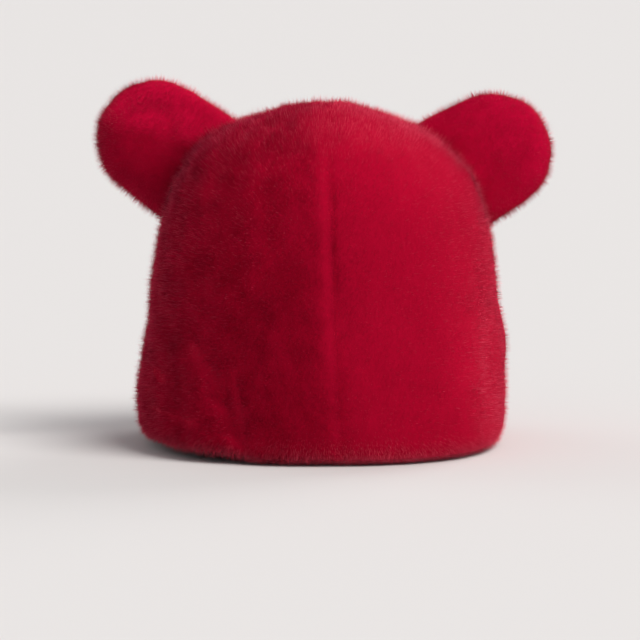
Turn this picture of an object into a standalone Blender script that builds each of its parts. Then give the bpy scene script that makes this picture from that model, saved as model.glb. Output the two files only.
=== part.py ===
"""A round-eared fur beanie standing on its rim, in metres, +Z up, with its front towards -Y.

The crown is a thick hollow wall of plush pelt in two panels, which meet edge to edge in a seam that
runs up the front, over the top and down the back. A round padded ear stands at each top corner, with
its foot cut to the crown. The outer faces are where the tips of the pile end, in soft shallow locks.
"""

import math
from collections import namedtuple

import bmesh
import bpy
from mathutils import Matrix, Vector, noise

# Driving dimensions of the crown
WALL = 0.0155  # skin and standing pile together
FIT_GAP = 0.0003  # between neighbouring pieces
WELD = 1e-6  # points this close are one
SHARP_ANGLE = math.radians(50)  # an edge that turns by more than this is shaded sharp
RIM_ROLL_WIDTH = 0.0120  # how far the pile rounds in at the rim's outer edge
RIM_ROLL_HEIGHT = 0.0170
RIM_INNER_EDGE = 0.0012
RIM_SQUARENESS = 2.35  # superellipse exponent of the rim's plan; 2 is a plain ellipse
TOP_SQUARENESS = 2.0

# The outer outline from the rim's roll to the top: to the left and the right of the middle as seen
# from the front, and from the middle to the front and to the back
Section = namedtuple("Section", "height left right half_depth")
SECTIONS = (
    Section(0.0170, 0.1050, 0.1025, 0.1150),
    Section(0.0300, 0.1055, 0.1027, 0.1158),
    Section(0.0450, 0.1040, 0.1025, 0.1150),
    Section(0.0620, 0.1008, 0.1020, 0.1128),
    Section(0.0800, 0.0985, 0.0985, 0.1102),
    Section(0.1050, 0.0958, 0.0961, 0.1070),
    Section(0.1280, 0.0902, 0.0911, 0.1010),
    Section(0.1450, 0.0842, 0.0860, 0.0944),
    Section(0.1600, 0.0760, 0.0762, 0.0846),
    Section(0.1722, 0.0645, 0.0610, 0.0696),
    Section(0.1820, 0.0440, 0.0412, 0.0476),
    Section(0.1896, 0.0215, 0.0205, 0.0240),
    Section(0.1928, 0.0000, 0.0000, 0.0000),
)
TOP = SECTIONS[-1].height
STEPS_PER_SECTION = 2
ROLL_STEPS = 4
OUTER_COLUMNS = 48
INNER_COLUMNS = 16
COLUMN_CROWDING = 0.5  # how much closer the outer columns stand at the seam than on average

# The seam is a parting in the pile, and its front half drifts sideways on its way down
SEAM_DEPTH = 0.0034
SEAM_HALF_WIDTH = 0.0055
SEAM_TURN_AT_TOP = math.radians(2.4)
SEAM_TURN_AT_RIM = math.radians(5.8)
SEAM_TURN_BEND = 2.2

# Creases and hollows in the pile of the front, each along a line between two points
Fold = namedtuple("Fold", "from_x from_z to_x to_z half_width depth")
FOLDS = (
    Fold(-0.067, 0.052, -0.044, 0.006, 0.0080, 0.0032),
    Fold(-0.040, 0.047, -0.058, 0.038, 0.0080, 0.0020),
    Fold(-0.090, 0.050, -0.083, 0.036, 0.0080, 0.0018),
    Fold(-0.012, 0.034, 0.020, 0.029, 0.0070, 0.0014),
    Fold(0.0925, 0.080, 0.0935, 0.014, 0.0060, 0.0018),
)

# The locks of the pile lie lengthwise down the crown
LOCK_WIDTH = 0.024
LOCK_LENGTH = 0.036
LOCK_HEIGHT = 0.0014
LOCK_FULLNESS = 2.2  # how soon a lock reaches its height from the groove beside it

# Driving dimensions of the ears
EAR_RADIUS = 0.0337
EAR_THICKNESS = 0.0260
EAR_EDGE_FULLNESS = 0.78  # 1 is an ellipse in section, and less fills out the edge
EAR_ROOT_LENGTH = 0.110  # from the centre of the round end into the crown, before the foot is cut
EAR_ROOT_FLARE = 0.36
EAR_CENTRE_Y = 0.009  # behind the crown's widest line
EAR_SEGMENTS = 36
EAR_RINGS = 16
EAR_LOCK_SIZE = 0.020
EAR_LOCK_HEIGHT = 0.0010
FOOT_GAP = 1.5 * FIT_GAP  # the panels stand half a gap off their seam, so the feet clear them by one

# side is 1 on the right, lift is the angle of the axis above level, turn brings the tip forward, and
# the cups bring the edges forward
Ear = namedtuple("Ear", "name side centre_x centre_z lift turn cup_top cup_bottom")
EARS = (
    Ear("ear_left", -1, -0.0936, 0.1694, math.radians(36), math.radians(5), 0.0070, 0.0035),
    Ear("ear_right", 1, 0.0946, 0.1622, math.radians(30), math.radians(3), 0.0030, 0.0025),
)

# Finishes
Finish = namedtuple("Finish", "name colour roughness")
CROWN_FUR = Finish("crimson_crown_fur", (0.43, 0.004, 0.024), 0.85)
EAR_FUR = Finish("crimson_ear_fur", (0.38, 0.003, 0.021), 0.85)


def clear_scene():
    """Removes the objects that a new file starts with."""
    for thing in list(bpy.data.objects):
        bpy.data.objects.remove(thing, do_unlink=True)


def material(finish):
    """The plain material of a finish, made once."""
    made = bpy.data.materials.get(finish.name) or bpy.data.materials.new(finish.name)
    made.use_nodes = True
    shader = made.node_tree.nodes["Principled BSDF"]
    shader.inputs["Base Color"].default_value = (*finish.colour, 1.0)
    shader.inputs["Roughness"].default_value = finish.roughness
    shader.inputs["Metallic"].default_value = 0.0
    return made


def object_from(maker, name, finish):
    """A smooth-shaded object in the scene from a finished bmesh."""
    bmesh.ops.recalc_face_normals(maker, faces=maker.faces)
    mesh = bpy.data.meshes.new(name)
    maker.to_mesh(mesh)
    maker.free()
    mesh.materials.append(material(finish))
    mesh.shade_smooth()
    mesh.set_sharp_from_angle(angle=SHARP_ANGLE)
    made = bpy.data.objects.new(name, mesh)
    bpy.context.scene.collection.objects.link(made)
    return made


def curve_through(before, start, end, after, share):
    """A value between start and end on the Catmull-Rom curve through four values."""
    return start + 0.5 * share * (
        end - before
        + share * (2 * before - 5 * start + 4 * end - after)
        + share**2 * (3 * start - before - 3 * end + after)
    )


def crown_section(place):
    """The crown's section at a place in SECTIONS, where whole numbers are its rows."""
    last = len(SECTIONS) - 1
    row = min(int(place), last - 1)
    over_the_top = SECTIONS[last - 1]
    rows = (*SECTIONS, narrowed(over_the_top, 2 * over_the_top.half_depth))
    around = (rows[max(row - 1, 0)], rows[row], rows[row + 1], rows[row + 2])
    return Section(*(curve_through(*values, place - row) for values in zip(*around)))


def narrowed(section, inset, height=None):
    """A section drawn in by inset on every side, at its own height or another."""
    height = section.height if height is None else height
    return Section(height, section.left - inset, section.right - inset, section.half_depth - inset)


def outer_rows():
    """The sections of the outer face, from the ring that the hat stands on to the top."""
    lowest = SECTIONS[0]
    rows = []
    for step in range(ROLL_STEPS):
        angle = math.radians(90) * step / ROLL_STEPS
        inset = RIM_ROLL_WIDTH * (1 - math.sin(angle))
        rows.append(narrowed(lowest, inset, RIM_ROLL_HEIGHT * (1 - math.cos(angle))))
    steps = (len(SECTIONS) - 1) * STEPS_PER_SECTION
    return rows + [crown_section(step / STEPS_PER_SECTION) for step in range(steps + 1)]


def inner_rows():
    """The sections of the inner face, as many as the outer face has and a wall's thickness inside."""
    outer = outer_rows()
    lowest = SECTIONS[0]
    rows = []
    for step in range(ROLL_STEPS):
        inset = WALL if step else WALL - RIM_INNER_EDGE
        share = max(step - 1, 0) / (ROLL_STEPS - 1)
        height = RIM_INNER_EDGE + (RIM_ROLL_HEIGHT - RIM_INNER_EDGE) * share if step else 0.0
        rows.append(narrowed(lowest, inset, height))
    return rows + [moved_out(outer, k, -WALL) for k in range(ROLL_STEPS, len(outer))]


def moved_out(rows, k, distance):
    """Row k of a face's sections, moved along the face's outward direction there."""
    here = rows[k]
    before, after = rows[max(k - 1, 0)], rows[min(k + 1, len(rows) - 1)]
    rise, spread = after.height - before.height, after.half_depth - before.half_depth
    if k == len(rows) - 1:
        rise, spread = 0.0, -1.0
    sideways, up = Vector((rise, -spread)).normalized() * distance
    return narrowed(here, -sideways, here.height + up)


def point_on(section, azimuth):
    """The point of a section in a direction from the middle, where 0 is +X and -90 degrees the front."""
    if section.half_depth < WELD:
        return Vector((0.0, 0.0, section.height))
    share = max(0.0, min(1.0, section.height / TOP))
    power = RIM_SQUARENESS + (TOP_SQUARENESS - RIM_SQUARENESS) * share
    half_width = section.right if math.cos(azimuth) > 0 else section.left
    across = abs(math.cos(azimuth)) / half_width
    along = abs(math.sin(azimuth)) / section.half_depth
    radius = (across**power + along**power) ** (-1 / power)
    return Vector((radius * math.cos(azimuth), radius * math.sin(azimuth), section.height))


def seam_turn(height):
    """The angle by which the front seam stands aside of the middle at a height."""
    share = max(0.0, 1 - height / TOP)
    return SEAM_TURN_AT_TOP + (SEAM_TURN_AT_RIM - SEAM_TURN_AT_TOP) * share**SEAM_TURN_BEND


def seam_dip(point):
    """The depth of the parting along the seam at a point."""
    middle = -point.y * math.tan(seam_turn(point.z)) if point.y < 0 else 0.0
    return SEAM_DEPTH * math.exp(-(((point.x - middle) / SEAM_HALF_WIDTH) ** 2))


def fold_dip(point):
    """The depth of the creases at a point, which only the front has."""
    if point.y > 0:
        return 0.0
    here = Vector((point.x, point.z))
    dip = 0.0
    for fold in FOLDS:
        start = Vector((fold.from_x, fold.from_z))
        run = Vector((fold.to_x, fold.to_z)) - start
        share = max(0.0, min(1.0, (here - start).dot(run) / run.length_squared))
        away = (here - start - run * share).length
        dip += fold.depth * math.exp(-((away / fold.half_width) ** 2))
    return dip


def lock_rise(place):
    """The height of the locks from 0, in a groove between two, to 1, at a place where locks are 1 apart."""
    nearest, second = noise.voronoi(place)[0][:2]
    return min(1.0, LOCK_FULLNESS * (second - nearest))


def crown_relief(point):
    """How far the pile stands out from the plain form at a point, which is not at all on the floor."""
    place = Vector((point.x / LOCK_WIDTH, point.y / LOCK_WIDTH, point.z / LOCK_LENGTH))
    fade = max(0.0, min(1.0, point.z / RIM_ROLL_HEIGHT))
    return fade * (LOCK_HEIGHT * (lock_rise(place) - 1) - seam_dip(point) - fold_dip(point))


def crowded(share):
    """A share from 0 to 1, moved so that equal steps of it stand closer together at both ends."""
    return share - COLUMN_CROWDING * math.sin(2 * math.pi * share) / (2 * math.pi)


def add_outer_face(maker, side, extra=0.0):
    """Adds the outer face of the panel on one side, with its relief, moved out by extra.

    It is split into triangles the same way each time, so that a face moved out stays clear of it.
    """
    rows = outer_rows()
    for vertex, k, azimuth in new_face(maker, side, rows, OUTER_COLUMNS, crowded):
        plain = point_on(rows[k], azimuth)
        vertex.co = point_on(moved_out(rows, k, crown_relief(plain) + extra), azimuth)
    bmesh.ops.remove_doubles(maker, verts=maker.verts, dist=WELD)
    bmesh.ops.triangulate(maker, faces=maker.faces, quad_method="FIXED")


def add_inner_face(maker, side):
    """Adds the smooth inner face of the panel on one side."""
    rows = inner_rows()
    for vertex, k, azimuth in new_face(maker, side, rows, INNER_COLUMNS, float):
        vertex.co = point_on(rows[k], azimuth)
    bmesh.ops.remove_doubles(maker, verts=maker.verts, dist=WELD)


def new_face(maker, side, rows, columns, spread):
    """Adds a flat grid for half of the crown, and gives each vertex with its row and its azimuth.

    The columns run from the front seam round one side to the back seam. spread moves a column's
    share of the way round.
    """
    height = len(rows) - 1
    grid = bmesh.ops.create_grid(maker, x_segments=columns, y_segments=height, size=1.0)
    back = math.radians(90 if side > 0 else -270)
    placed = []
    for vertex in grid["verts"]:
        share = spread((vertex.co.x + 1) / 2)
        k = round((vertex.co.y + 1) / 2 * height)
        front = math.radians(-90) + seam_turn(rows[k].height)
        placed.append((vertex, k, front + (back - front) * share))
    return placed


def panel(name, side):
    """One half of the crown, as a closed wall between its outer and its inner face."""
    maker = bmesh.new()
    add_outer_face(maker, side)
    add_inner_face(maker, side)
    edges = [edge for edge in maker.edges if edge.is_boundary]
    seam_edges = [edge for edge in edges if max(end.co.z for end in edge.verts) > WELD]
    bmesh.ops.bridge_loops(maker, edges=seam_edges)
    ring_edges = [edge for edge in maker.edges if edge.is_boundary]
    bmesh.ops.contextual_create(maker, geom=ring_edges)
    bmesh.ops.translate(maker, verts=maker.verts, vec=(side * FIT_GAP / 2, 0.0, 0.0))
    return object_from(maker, name, CROWN_FUR)


def foot_cutter():
    """The whole crown as a solid, a gap larger all round, which cuts the feet of the ears."""
    maker = bmesh.new()
    for side in (1, -1):
        add_outer_face(maker, side, extra=FOOT_GAP)
    bmesh.ops.contextual_create(maker, geom=[edge for edge in maker.edges if edge.is_boundary])
    made = object_from(maker, "foot_cutter", CROWN_FUR)
    made.hide_render = True
    made.display_type = "WIRE"
    return made


def ear(shape, cutter):
    """A padded ear: a disc that is drawn out towards the crown and cut off a gap before it.

    In its own frame the disc's axis points away from the crown along +X, and its face along +Z.
    """
    maker = bmesh.new()
    bmesh.ops.create_uvsphere(maker, u_segments=EAR_SEGMENTS, v_segments=EAR_RINGS, radius=1.0)
    for vertex in maker.verts:
        x, y, z = vertex.co
        along = x * (EAR_RADIUS if x > 0 else EAR_ROOT_LENGTH)
        flare = 1 + EAR_ROOT_FLARE * max(0.0, -x)
        cup = shape.cup_top if y * shape.side > 0 else shape.cup_bottom
        half = EAR_THICKNESS / 2 * abs(z) ** EAR_EDGE_FULLNESS
        vertex.co = (along, y * EAR_RADIUS * flare, math.copysign(half, z) + cup * y**2)
    maker.normal_update()
    for vertex in maker.verts:
        rise = lock_rise(vertex.co / EAR_LOCK_SIZE) - 1
        vertex.co += vertex.normal * EAR_LOCK_HEIGHT * rise
    made = object_from(maker, shape.name, EAR_FUR)
    made.location = (shape.centre_x, EAR_CENTRE_Y, shape.centre_z)
    axis_angle = shape.lift if shape.side > 0 else math.pi - shape.lift
    made.rotation_euler = (
        Matrix.Rotation(-shape.side * shape.turn, 4, "Z")
        @ Matrix.Rotation(-axis_angle, 4, "Y")
        @ Matrix.Rotation(math.radians(90), 4, "X")
    ).to_euler()
    cut = made.modifiers.new("foot", "BOOLEAN")
    cut.operation = "DIFFERENCE"
    cut.solver = "EXACT"
    cut.object = cutter
    return made


clear_scene()
panel("crown_right", 1)
panel("crown_left", -1)
crown_cutter = foot_cutter()
for ear_shape in EARS:
    ear(ear_shape, crown_cutter)
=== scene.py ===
"""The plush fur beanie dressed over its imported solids, in metres, with its front towards -Y.

A skin in nearly the pile's colour replaces each solid and lies close under the tips of the hair. The
pile stands out of it as single bent blades, whose tips end where the solids' outer faces are. The hair
leans by a combing that parts along the crown's seam, turns round the creases and swirls in soft patches.
"""

import logging
import math
from collections.abc import Callable
from dataclasses import dataclass
from enum import Enum

import bmesh
import bpy
import numpy as np
from bpy.types import ID, Material, Mesh, Node, NodeSocket, NodeTree, Object, ShaderNodeTree
from mathutils import Euler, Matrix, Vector
from mathutils.bvhtree import BVHTree


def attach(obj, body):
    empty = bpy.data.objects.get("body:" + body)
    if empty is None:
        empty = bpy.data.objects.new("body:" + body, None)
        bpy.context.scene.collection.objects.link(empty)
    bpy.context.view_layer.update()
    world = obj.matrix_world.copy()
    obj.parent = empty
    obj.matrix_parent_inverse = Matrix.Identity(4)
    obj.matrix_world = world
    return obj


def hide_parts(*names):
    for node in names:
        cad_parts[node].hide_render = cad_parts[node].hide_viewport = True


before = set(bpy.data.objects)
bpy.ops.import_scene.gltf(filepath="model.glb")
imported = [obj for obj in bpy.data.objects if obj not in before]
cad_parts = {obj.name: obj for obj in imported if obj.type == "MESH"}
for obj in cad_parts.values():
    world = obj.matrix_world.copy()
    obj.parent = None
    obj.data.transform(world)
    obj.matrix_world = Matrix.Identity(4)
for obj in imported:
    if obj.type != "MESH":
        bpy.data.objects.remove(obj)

Array = np.ndarray
Colour = tuple[float, float, float]
Point = tuple[float, float, float]
Density = Callable[[Array], Array]  # from faces' middles
FaceChoice = Callable[[Array, Array], Array]  # from faces' middles and normals
PointTest = Callable[[Vector], bool]
Input = NodeSocket | float
GroupParts = tuple[ShaderNodeTree, Node, Node]
MaterialParts = tuple[Material, Node, Node]
Finishes = tuple[Material, ...]
LOG = logging.getLogger("beanie")
BODY = "root"
MM = 0.001
SAME_PLACE = 1e-6  # what is less far apart than this counts as one point
FINE_CUTS = 3  # how often an edge of the skin is cut beside the seam
EVEN_STEPS = (0.7548776662, 0.5698402910)  # steps of the even two-way sequence, parts of a whole
STRAND_MAP = "OFBake"  # the pile's own map: from root to tip across it, and from dark to pale up it
SHADES = (0.02, 0.98)  # what a hair's place up that map is kept between
TONE_STEPS = (("Body", 0.1, 0.5), ("Tip", 0.5, 1.0))  # between which parts of a hair each tone sets in
SKIN_STEPS = (("Z", 0.125, 0.165, "High"), ("X", 0.065, 0.09, "Flank"))  # and where the skin gets paler, as a painted highlight
SKIN_DETAIL = 4.0  # how many layers of ever finer blotches the skin's blotches have
COLOUR_SOCKET, NUMBER_SOCKET = "NodeSocketColor", "NodeSocketFloat"


class Part(Enum):
    """One of two parts, with its word for the names of nodes and pieces."""

    @property
    def word(self) -> str:
        """The part's name in small letters."""
        return self.name.lower()


class Side(Part):
    """The two sides of the hat as seen from the front."""

    LEFT = -1
    RIGHT = 1


class Half(Part):
    """The front and the back half of a crown panel."""

    FRONT = -1
    BACK = 1


# Fields over the surface


def unit(vectors: Array) -> Array:
    """The same vectors with a length of 1."""
    return vectors / np.maximum(np.linalg.norm(vectors, axis=1), 1e-12)[:, None]


def along(vectors: Array, normals: Array) -> Array:
    """Vectors laid into the surface by taking away what stands out of it."""
    return vectors - normals * np.sum(vectors * normals, axis=1)[:, None]


def smooth(share: Array) -> Array:
    """A share from 0 to 1 with its two ends rounded off."""
    return share * share * (3.0 - 2.0 * share)


def between(least: float, share: Array) -> Array:
    """A share from 0 to 1 squeezed to start at the least value."""
    return least + (1.0 - least) * share


@dataclass(frozen=True)
class Ramp:
    """A share that runs evenly from 0 at one value to 1 at another."""

    zero: float
    one: float
    least: float = 0.0

    def at(self, values: Array) -> Array:
        """The share at each value."""
        return np.clip((values - self.zero) / (self.one - self.zero), self.least, 1.0)


@dataclass(frozen=True)
class Patches:
    """Smooth noise between about -1 and 1, times a gain."""

    cell: float  # the size of one patch, in metres
    seed: int
    gain: float = 1.0

    def vectors(self, points: Array, channels: int = 3) -> Array:
        """The noise at some places.

        Args:
            points: The places, in metres.
            channels: How many values each place gets.

        Returns:
            An array with a row for each point and a column for each channel.
        """
        positive, evened = 100.0, 1.4  # a shift to cells above 0, and a gain for what the blending takes
        place = points / self.cell + positive
        low = np.floor(place).astype(np.int64)
        part = smooth(place - low)
        total = np.zeros((len(points), channels))
        for corner in range(8):
            step = np.array([corner & 1, corner >> 1 & 1, corner >> 2 & 1])
            share = np.where(step, part, 1.0 - part).prod(axis=1)
            for channel in range(channels):
                total[:, channel] += share * self.drawn(low + step, channel)
        return total * evened * self.gain

    def drawn(self, cells: Array, channel: int) -> Array:
        """A value from -1 to 1 for the first corner of each cell, always the same for the same cell.

        Args:
            cells: The cells, as whole numbers.
            channel: Which of a cell's values.

        Returns:
            The values.
        """
        cell_primes, seed_prime, channel_prime = (73856093, 19349663, 83492791), 7919, 104729
        factor, step, last_factor, mask = 1103515245, 12345, 1274126177, 0x7FFFFFFF
        code = np.bitwise_xor.reduce(cells * cell_primes, axis=1)
        code = (code ^ (self.seed * seed_prime + channel * channel_prime)) & mask
        code = (code * factor + step) & mask
        code = (code ^ code >> 13) * last_factor & mask
        return code / (mask >> 1) - 1.0

    def values(self, points: Array) -> Array:
        """One value of the noise for each place."""
        return self.vectors(points, 1)[:, 0]


# Finishes


def socket_value(value: Colour | float) -> tuple[float, ...] | float:
    """A colour with its opacity, or a number as it is."""
    return (*value, 1.0) if isinstance(value, tuple) else value


def new_group(name: str, inputs: dict[str, Colour | float], outputs: dict[str, str]) -> GroupParts:
    """A shader node group with named sockets.

    Args:
        name: The group's name.
        inputs: Each input's starting colour or number by its name.
        outputs: Each output's kind of socket by its name.

    Returns:
        The group, its input node and its output node.
    """
    group = bpy.data.node_groups.new(name, "ShaderNodeTree")
    for label, value in inputs.items():
        kind = COLOUR_SOCKET if isinstance(value, tuple) else NUMBER_SOCKET
        made = group.interface.new_socket(label, in_out="INPUT", socket_type=kind)
        made.default_value = socket_value(value)
    for label, kind in outputs.items():
        group.interface.new_socket(label, in_out="OUTPUT", socket_type=kind)
    return group, group.nodes.new("NodeGroupInput"), group.nodes.new("NodeGroupOutput")


def added(tree: NodeTree, kind: str, inputs: dict | None = None, **settings: str | ShaderNodeTree) -> Node:
    """Adds a node to a shader.

    Args:
        tree: The nodes that it joins.
        kind: Which node, after the word ShaderNode.
        inputs: A socket to link or a value to set, by the input's name or number.
        settings: The node's own settings, such as its operation.

    Returns:
        The node.
    """
    node = tree.nodes.new(f"ShaderNode{kind}")
    for label, value in settings.items():
        setattr(node, label, value)
    for label, value in (inputs or {}).items():
        if isinstance(value, NodeSocket):
            tree.links.new(value, node.inputs[label])
        else:
            node.inputs[label].default_value = value
    return node


def mixed(tree: NodeTree, factor: Input, first: Input, second: Input) -> NodeSocket:
    """A colour between two others."""
    node = added(tree, "Mix", {"Factor": factor, "A": first, "B": second}, data_type="RGBA")
    return node.outputs["Result"]


def times_plus(tree: NodeTree, first: Input, second: Input, third: Input) -> NodeSocket:
    """A number times another, plus a third."""
    return added(tree, "Math", {0: first, 1: second, 2: third}, operation="MULTIPLY_ADD").outputs[0]


def scaled(tree: NodeTree, vector: Input, scale: Input) -> NodeSocket:
    """A vector or a colour times a number."""
    return added(tree, "VectorMath", {0: vector, "Scale": scale}, operation="SCALE").outputs[0]


def pile_tone_group() -> ShaderNodeTree:
    """The tone of a hair from its root to its tip, and from the darkest hair to the palest, which includes
    painted highlights and painted shade.

    Returns:
        A group that reads the pile's own map and puts out a colour.
    """
    starts = {"Root": (0.1, 0.0, 0.0), "Body": (0.4, 0.0, 0.0), "Tip": (0.6, 0.1, 0.1), "Spread": 0.5}
    group, start, end = new_group("pile_tone", starts, {"Color": COLOUR_SOCKET})
    place = added(group, "UVMap", uv_map=STRAND_MAP)
    split = added(group, "SeparateXYZ", {0: place.outputs["UV"]})
    hair, spread = start.outputs["Root"], start.outputs["Spread"]
    for label, low, high in TONE_STEPS:
        inputs = {"Value": split.outputs["X"], "From Min": low, "From Max": high}
        step = added(group, "MapRange", inputs, interpolation_type="SMOOTHSTEP")
        hair = mixed(group, step.outputs[0], hair, start.outputs[label])
    shade = times_plus(group, split.outputs["Y"], spread, times_plus(group, spread, -0.5, 1.0))
    group.links.new(scaled(group, hair, shade), end.inputs["Color"])
    return group


def mottle_group() -> ShaderNodeTree:
    """Soft blotches on Object coordinates for the skin, with a painted highlight that makes it paler high up
    and on the right flank.

    Returns:
        A group that puts out a colour and a height.
    """
    starts = {"Dark": (0.1, 0.0, 0.0), "Light": (0.3, 0.0, 0.0), "Scale": 100.0, "High": 0.0, "Flank": 0.0}
    group, start, end = new_group("mottle", starts, {"Color": COLOUR_SOCKET, "Height": NUMBER_SOCKET})
    place = added(group, "TexCoord").outputs["Object"]
    inputs = {"Vector": place, "Scale": start.outputs["Scale"], "Detail": SKIN_DETAIL}
    noise = added(group, "TexNoise", inputs).outputs["Fac"]
    colour = mixed(group, noise, start.outputs["Dark"], start.outputs["Light"])
    parts = added(group, "SeparateXYZ", {0: place})
    for axis, low, high, label in SKIN_STEPS:
        step = added(group, "MapRange", {"Value": parts.outputs[axis], "From Min": low, "From Max": high})
        colour = scaled(group, colour, times_plus(group, step.outputs[0], start.outputs[label], 1.0))
    group.links.new(colour, end.inputs["Color"])
    group.links.new(noise, end.inputs["Height"])
    return group


def plain_material(name: str) -> tuple[Material, Node]:
    """A new material and its Principled shader.

    Args:
        name: The material's name.

    Returns:
        The material and the shader.
    """
    made = bpy.data.materials.new(name)
    made.use_nodes = True
    return made, made.node_tree.nodes["Principled BSDF"]


@dataclass(frozen=True, kw_only=True)
class FurFinish:
    """The gloss of hair and of the skin under it."""

    name: str
    roughness: float = 0.6
    specular: float = 0.0
    sheen: float = 0.15
    sheen_roughness: float = 0.3
    sheen_tint: Colour = (1.0, 0.09, 0.20)

    def coloured(self, group: ShaderNodeTree, values: dict[str, Colour | float]) -> MaterialParts:
        """A material whose colour comes from a group.

        Args:
            group: The group.
            values: What the group's inputs are set to, by their names.

        Returns:
            The material, its Principled shader and the group's node in it.
        """
        made, shader = plain_material(self.name)
        inputs = {label: socket_value(value) for label, value in values.items()}
        node = added(made.node_tree, "Group", inputs, node_tree=group)
        made.node_tree.links.new(node.outputs["Color"], shader.inputs["Base Color"])
        shader.inputs["Roughness"].default_value = self.roughness
        shader.inputs["Specular IOR Level"].default_value = self.specular
        shader.inputs["Sheen Weight"].default_value = self.sheen
        shader.inputs["Sheen Roughness"].default_value = self.sheen_roughness
        shader.inputs["Sheen Tint"].default_value = socket_value(self.sheen_tint)
        return made, shader, node


@dataclass(frozen=True, kw_only=True)
class PileFinish(FurFinish):
    """The colours and gloss of standing hair: its dye, and on guard hair also pale tips that partly paint a
    sheen.
    """

    root: Colour
    body: Colour
    tip: Colour
    spread: float = 0.6
    flank: float = 0.0  # how far a hair is lit as its own face, beside the surface that it stands on

    def material(self, tone: ShaderNodeTree) -> Material:
        """The hair's material, in which both flat faces of a blade are lit alike.

        Args:
            tone: The group that gives a hair its tone.

        Returns:
            The new material.
        """
        tones = {"Root": self.root, "Body": self.body, "Tip": self.tip, "Spread": self.spread}
        made, shader, _ = self.coloured(tone, tones)
        tree = made.node_tree
        blade = added(tree, "NewGeometry")
        sign = times_plus(tree, blade.outputs["Backfacing"], -2.0, 1.0)
        outward = scaled(tree, blade.outputs["Normal"], sign)
        inputs = {0: blade.outputs["True Normal"], 1: (self.flank,) * 3, 2: outward}
        turned = added(tree, "VectorMath", inputs, operation="MULTIPLY_ADD")
        even = added(tree, "VectorMath", {0: turned.outputs[0]}, operation="NORMALIZE")
        tree.links.new(even.outputs[0], shader.inputs["Normal"])
        return made


@dataclass(frozen=True, kw_only=True)
class SkinFinish(FurFinish):
    """The dyed skin under the hair, with a painted highlight where one is set, and the knitted back of the
    skin inside the crown.
    """

    dark: Colour
    light: Colour
    scale: float
    bump: float
    bump_height: float = 0.5 * MM
    roughness: float = 0.9
    specular: float = 0.05
    high: float = 0.0  # painted highlight: how much paler the skin is high up
    flank: float = 0.0  # painted highlight: how much paler it is on the right flank

    def material(self, mottle: ShaderNodeTree) -> Material:
        """The skin's material.

        Args:
            mottle: The group that gives the skin its blotches.

        Returns:
            The new material.
        """
        tones = {"Dark": self.dark, "Light": self.light, "Scale": self.scale}
        made, shader, node = self.coloured(mottle, {**tones, "High": self.high, "Flank": self.flank})
        inputs = {"Strength": self.bump, "Distance": self.bump_height, "Height": node.outputs["Height"]}
        bump = added(made.node_tree, "Bump", inputs)
        made.node_tree.links.new(bump.outputs["Normal"], shader.inputs["Normal"])
        return made


CROWN_PILE = PileFinish(
    name="crimson_crown_pile",
    root=(0.23, 0.0003, 0.012),
    body=(0.375, 0.0005, 0.0215),
    tip=(0.55, 0.0085, 0.0445),
)
EAR_PILE = PileFinish(
    name="crimson_ear_pile",
    root=(0.26, 0.0004, 0.014),
    body=(0.52, 0.0014, 0.036),
    tip=(0.70, 0.0140, 0.064),
)
# pale pink tips: partly the guard hair's own colour, partly a painted sheen on the outlines
GUARD_HAIR = PileFinish(
    name="crimson_guard_hair",
    root=(0.30, 0.0005, 0.018),
    body=(0.46, 0.0030, 0.031),
    tip=(0.80, 0.0850, 0.140),
    spread=0.0,
    sheen=0.6,
    sheen_roughness=0.5,
    sheen_tint=(1.0, 0.18, 0.28),
    flank=0.5,
)
UNDERCOAT = SkinFinish(
    name="crimson_undercoat",
    dark=(0.33, 0.0003, 0.017),
    light=(0.40, 0.0005, 0.022),
    scale=400.0,
    bump=0.8,
    sheen=0.3,
    # painted highlight: the skin is paler high up and on the right flank
    high=0.18,
    flank=0.10,
)
EAR_UNDERCOAT = SkinFinish(
    name="crimson_ear_undercoat",
    dark=(0.46, 0.0008, 0.029),
    light=(0.53, 0.0012, 0.035),
    scale=400.0,
    bump=0.6,
    sheen=0.2,
)
PELT_BACK = SkinFinish(
    name="pelt_backing",
    dark=(0.16, 0.004, 0.014),
    light=(0.24, 0.008, 0.022),
    scale=900.0,
    bump=0.9,
    roughness=0.95,
    sheen=0.0,
)


# Surfaces that hair stands on


def linked(name: str, data: ID) -> Object:
    """A new object in the scene."""
    made = bpy.data.objects.new(name, data)
    bpy.context.scene.collection.objects.link(made)
    return made


def drawn_piece(name: str, shape: bmesh.types.BMesh, *finishes: Material) -> Object:
    """A new piece in the scene from a shape, which is freed, with its finishes.

    Args:
        name: The piece's name.
        shape: Its shape.
        finishes: Its materials, in the order of its faces' numbers.

    Returns:
        The piece.
    """
    mesh = bpy.data.meshes.new(name)
    shape.to_mesh(mesh)
    shape.free()
    for finish in finishes:
        mesh.materials.append(finish)
    return linked(name, mesh)


def node_tree(node: str) -> BVHTree:
    """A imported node's surface for nearest-point questions.

    Args:
        node: The node's name.

    Returns:
        The surface as a tree.
    """
    solid = bmesh.new()
    solid.from_mesh(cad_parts[node].data)
    tree = BVHTree.FromBMesh(solid)
    solid.free()
    return tree


def merged_solid(node: str, fine: PointTest | None = None) -> bmesh.types.BMesh:
    """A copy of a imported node's mesh in triangles, without double points.

    Args:
        node: The node's name.
        fine: Says at which points the copy gets smaller triangles.

    Returns:
        The copy.
    """
    solid = bmesh.new()
    solid.from_mesh(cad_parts[node].data)
    bmesh.ops.remove_doubles(solid, verts=solid.verts, dist=SAME_PLACE)
    bmesh.ops.triangulate(solid, faces=solid.faces)
    if fine is not None:
        edges = [edge for edge in solid.edges if all(fine(vertex.co) for vertex in edge.verts)]
        bmesh.ops.subdivide_edges(solid, edges=edges, cuts=FINE_CUTS, use_grid_fill=True)
        bmesh.ops.triangulate(solid, faces=solid.faces)
    for parts in (solid.verts, solid.faces):
        parts.index_update()
        parts.ensure_lookup_table()
    return solid


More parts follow.
